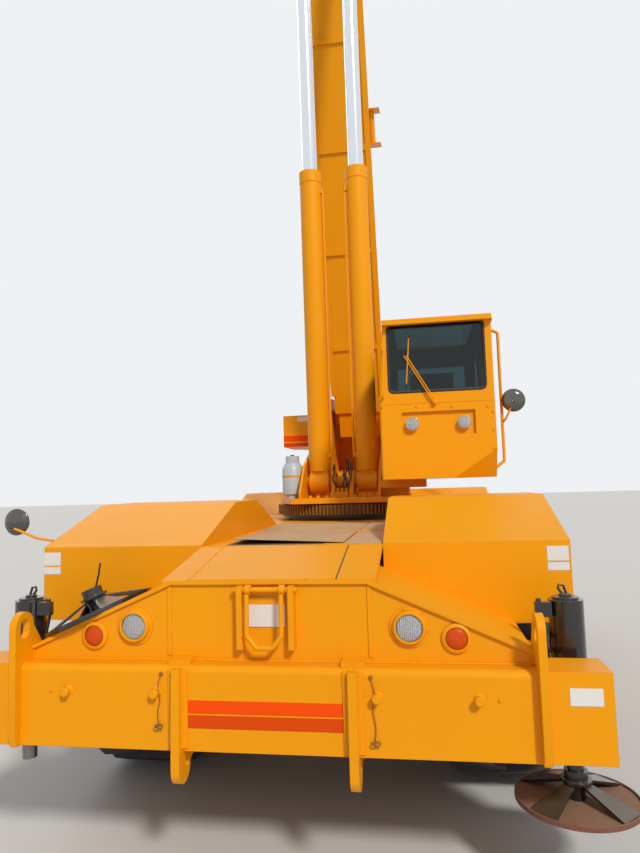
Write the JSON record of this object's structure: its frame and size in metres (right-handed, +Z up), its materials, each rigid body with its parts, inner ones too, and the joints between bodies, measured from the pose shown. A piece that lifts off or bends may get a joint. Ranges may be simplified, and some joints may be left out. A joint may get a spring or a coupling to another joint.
{
  "type": "rough-terrain mobile crane",
  "caption": "Two-axle rough-terrain crane with four outriggers, side cab, twin lift rams, telescopic boom and hook block.",
  "frame": {"origin": "on the ground below the middle of the whole machine's box, 58.5 mm right of the swing axis", "axes": "+X forward, out of the front bumper; +Y to the machine's left, the cab's side; +Z up"},
  "size_m": [8.004, 3.9169, 13.694],
  "materials": {
    "yellow_paint": "gloss enamel, sun-faded, scuffed at the edges",
    "chassis_black": "black paint, oily and dusty",
    "rim_paint": "gloss enamel, dusty",
    "tyre_rubber": "worn rubber, dusty",
    "rod_chrome": "polished hard chrome",
    "gear_steel": "greased steel",
    "lamp_glass": "clear ribbed glass",
    "lamp_orange": "orange ribbed lens",
    "window_glass": "tinted safety glass",
    "seat_cloth": "worn woven cloth",
    "dark_plastic": "moulded, matt",
    "hook_paint": "gloss enamel, chipped",
    "bottle_white": "white enamel, dusty and scratched",
    "drum_steel": "worn steel and wire rope"
  },
  "bodies": {
    "carrier": {"carrier_frame": "chassis_black", "outrigger_boxes": "yellow_paint", "front_housing": "yellow_paint", "rear_housing": "yellow_paint", "deck": "yellow_paint", "fenders": "yellow_paint", "engine_block": "chassis_black", "engine_hood": "yellow_paint", "side_tanks": "yellow_paint", "headlights": "lamp_glass", "lamp_rims": "yellow_paint", "signal_lamps": "lamp_orange", "bail_bracket": "yellow_paint", "tow_bail": "yellow_paint", "stowed_float": "chassis_black", "fender_mirror": "yellow_paint", "swing_gear": "gear_steel", "axles": "chassis_black"},
    "grille_door": {"grille_door": "yellow_paint"},
    "tie_rod_front": {"tie_rod_front": "chassis_black"},
    "tie_rod_rear": {"tie_rod_rear": "chassis_black"},
    "knuckle_front_left": {"knuckle_front_left": "chassis_black"},
    "wheel_front_left": {"rim_front_left": "rim_paint", "tyre_front_left": "tyre_rubber"},
    "beam_front_left": {"outrigger_beam_front_left": "yellow_paint"},
    "jack_front_left": {"jack_front_left": "chassis_black"},
    "knuckle_front_right": {"knuckle_front_right": "chassis_black"},
    "wheel_front_right": {"rim_front_right": "rim_paint", "tyre_front_right": "tyre_rubber"},
    "beam_front_right": {"outrigger_beam_front_right": "yellow_paint"},
    "jack_front_right": {"jack_front_right": "rod_chrome"},
    "knuckle_rear_left": {"knuckle_rear_left": "chassis_black"},
    "wheel_rear_left": {"rim_rear_left": "rim_paint", "tyre_rear_left": "tyre_rubber"},
    "beam_rear_left": {"outrigger_beam_rear_left": "yellow_paint"},
    "jack_rear_left": {"jack_rear_left": "chassis_black"},
    "knuckle_rear_right": {"knuckle_rear_right": "chassis_black"},
    "wheel_rear_right": {"rim_rear_right": "rim_paint", "tyre_rear_right": "tyre_rubber"},
    "beam_rear_right": {"outrigger_beam_rear_right": "yellow_paint"},
    "jack_rear_right": {"jack_rear_right": "chassis_black"},
    "upperworks": {"turret": "yellow_paint", "counterweight": "yellow_paint", "hoist": "drum_steel", "gas_bottle": "bottle_white", "cab_shell": "yellow_paint", "cab_glass": "window_glass", "cab_seat": "seat_cloth", "cab_controls": "dark_plastic", "cab_rails": "yellow_paint", "work_lamps": "lamp_glass"},
    "cab_door": {"cab_door": "yellow_paint", "door_glass": "window_glass"},
    "boom_base": {"boom_base": "yellow_paint"},
    "boom_inner_mid": {"boom_inner_mid": "yellow_paint"},
    "boom_outer_mid": {"boom_outer_mid": "yellow_paint"},
    "boom_fly": {"boom_fly": "yellow_paint"},
    "lift_barrels": {"lift_barrels": "yellow_paint"},
    "lift_rods": {"lift_rods": "rod_chrome"},
    "hook_block": {"hook_block": "hook_paint"}
  },
  "joints": [
    {"name": "grille_door_hinge", "type": "hinge", "parent": "carrier", "child": "grille_door", "pos_m": [-3.852, 0.5505, 1.4], "axis": [0, 0, 1], "range_deg": [-110, 0]},
    {"name": "steer_front_left", "type": "hinge", "parent": "carrier", "child": "knuckle_front_left", "pos_m": [2.05, 0.9165, 0.935], "axis": [0, 0, 1], "range_deg": [-24, 24]},
    {"name": "wheel_spin_front_left", "type": "hinge", "parent": "knuckle_front_left", "child": "wheel_front_left", "pos_m": [2.05, 1.3535, 0.935], "axis": [0, 1, 0], "continuous": true},
    {"name": "beam_slide_front_left", "type": "slide", "parent": "carrier", "child": "beam_front_left", "axis": [0, 1, 0], "range_m": [0, 1.6]},
    {"name": "jack_slide_front_left", "type": "slide", "parent": "beam_front_left", "child": "jack_front_left", "axis": [0, 0, -1], "range_m": [0, 0.6]},
    {"name": "steer_front_right", "type": "hinge", "parent": "carrier", "child": "knuckle_front_right", "pos_m": [2.05, -0.7995, 0.935], "axis": [0, 0, 1], "range_deg": [-24, 24]},
    {"name": "wheel_spin_front_right", "type": "hinge", "parent": "knuckle_front_right", "child": "wheel_front_right", "pos_m": [2.05, -1.2365, 0.935], "axis": [0, 1, 0], "continuous": true},
    {"name": "beam_slide_front_right", "type": "slide", "parent": "carrier", "child": "beam_front_right", "axis": [0, -1, 0], "range_m": [0, 1.6]},
    {"name": "jack_slide_front_right", "type": "slide", "parent": "beam_front_right", "child": "jack_front_right", "axis": [0, 0, -1], "range_m": [0, 0.6]},
    {"name": "steer_rear_left", "type": "hinge", "parent": "carrier", "child": "knuckle_rear_left", "pos_m": [-2.05, 0.9165, 0.935], "axis": [0, 0, 1], "range_deg": [-24, 24]},
    {"name": "wheel_spin_rear_left", "type": "hinge", "parent": "knuckle_rear_left", "child": "wheel_rear_left", "pos_m": [-2.05, 1.3535, 0.935], "axis": [0, 1, 0], "continuous": true},
    {"name": "beam_slide_rear_left", "type": "slide", "parent": "carrier", "child": "beam_rear_left", "axis": [0, 1, 0], "range_m": [0, 1.6]},
    {"name": "jack_slide_rear_left", "type": "slide", "parent": "beam_rear_left", "child": "jack_rear_left", "axis": [0, 0, -1], "range_m": [0, 0.6]},
    {"name": "steer_rear_right", "type": "hinge", "parent": "carrier", "child": "knuckle_rear_right", "pos_m": [-2.05, -0.7995, 0.935], "axis": [0, 0, 1], "range_deg": [-24, 24]},
    {"name": "wheel_spin_rear_right", "type": "hinge", "parent": "knuckle_rear_right", "child": "wheel_rear_right", "pos_m": [-2.05, -1.2365, 0.935], "axis": [0, 1, 0], "continuous": true},
    {"name": "beam_slide_rear_right", "type": "slide", "parent": "carrier", "child": "beam_rear_right", "axis": [0, -1, 0], "range_m": [0, 1.6]},
    {"name": "jack_slide_rear_right", "type": "slide", "parent": "beam_rear_right", "child": "jack_rear_right", "axis": [0, 0, -1], "range_m": [0, 0.6]},
    {"name": "tie_rod_slide_front", "type": "slide", "parent": "carrier", "child": "tie_rod_front", "axis": [0, -1, 0], "range_m": [-0.13, 0.13]},
    {"name": "tie_rod_slide_rear", "type": "slide", "parent": "carrier", "child": "tie_rod_rear", "axis": [0, 1, 0], "range_m": [-0.13, 0.13]},
    {"name": "swing", "type": "hinge", "parent": "carrier", "child": "upperworks", "pos_m": [0, 0.0585, 1.9], "axis": [0, 0, 1], "continuous": true},
    {"name": "cab_door_slide", "type": "slide", "parent": "upperworks", "child": "cab_door", "axis": [-1, 0, 0], "range_m": [0, 0.68]},
    {"name": "boom_lift", "type": "hinge", "parent": "upperworks", "child": "boom_base", "pos_m": [-2.03, 0.0585, 3.1], "axis": [0, -1, 0], "range_deg": [-75, 4]},
    {"name": "ram_swivel", "type": "hinge", "parent": "upperworks", "child": "lift_barrels", "pos_m": [0.3, 0.0585, 2.15], "axis": [0, -1, 0], "range_deg": [-88.3, 4.8]},
    {"name": "ram_stroke", "type": "slide", "parent": "lift_barrels", "child": "lift_rods", "axis": [0.0293, 0, 0.9996], "range_m": [-2.826, 0.151]},
    {"name": "telescope_inner_mid", "type": "slide", "parent": "boom_base", "child": "boom_inner_mid", "axis": [0.309, 0, 0.9511], "range_m": [0, 7.4]},
    {"name": "telescope_outer_mid", "type": "slide", "parent": "boom_inner_mid", "child": "boom_outer_mid", "axis": [0.309, 0, 0.9511], "range_m": [0, 7.4]},
    {"name": "telescope_fly", "type": "slide", "parent": "boom_outer_mid", "child": "boom_fly", "axis": [0.309, 0, 0.9511], "range_m": [0, 7.4]},
    {"name": "hook_hang", "type": "hinge", "parent": "boom_fly", "child": "hook_block", "pos_m": [1.74961, 0.0585, 13.43801], "axis": [0, -1, 0], "range_deg": [-4.1, 75.1]}
  ],
  "couplings": [
    {"joint": "steer_front_right", "follows": "steer_front_left", "ratio": 1},
    {"joint": "tie_rod_slide_front", "follows": "steer_front_left", "m_per_rad": 0.2913},
    {"joint": "steer_rear_right", "follows": "steer_rear_left", "ratio": 1},
    {"joint": "tie_rod_slide_rear", "follows": "steer_rear_left", "m_per_rad": 0.2913},
    {"joint": "ram_swivel", "follows": "boom_lift", "ratio": 1.1771},
    {"joint": "ram_stroke", "follows": "boom_lift", "m_per_rad": 2.1585},
    {"joint": "telescope_outer_mid", "follows": "telescope_inner_mid", "ratio": 1},
    {"joint": "telescope_fly", "follows": "telescope_inner_mid", "ratio": 1},
    {"joint": "hook_hang", "follows": "boom_lift", "ratio": -1}
  ]
}
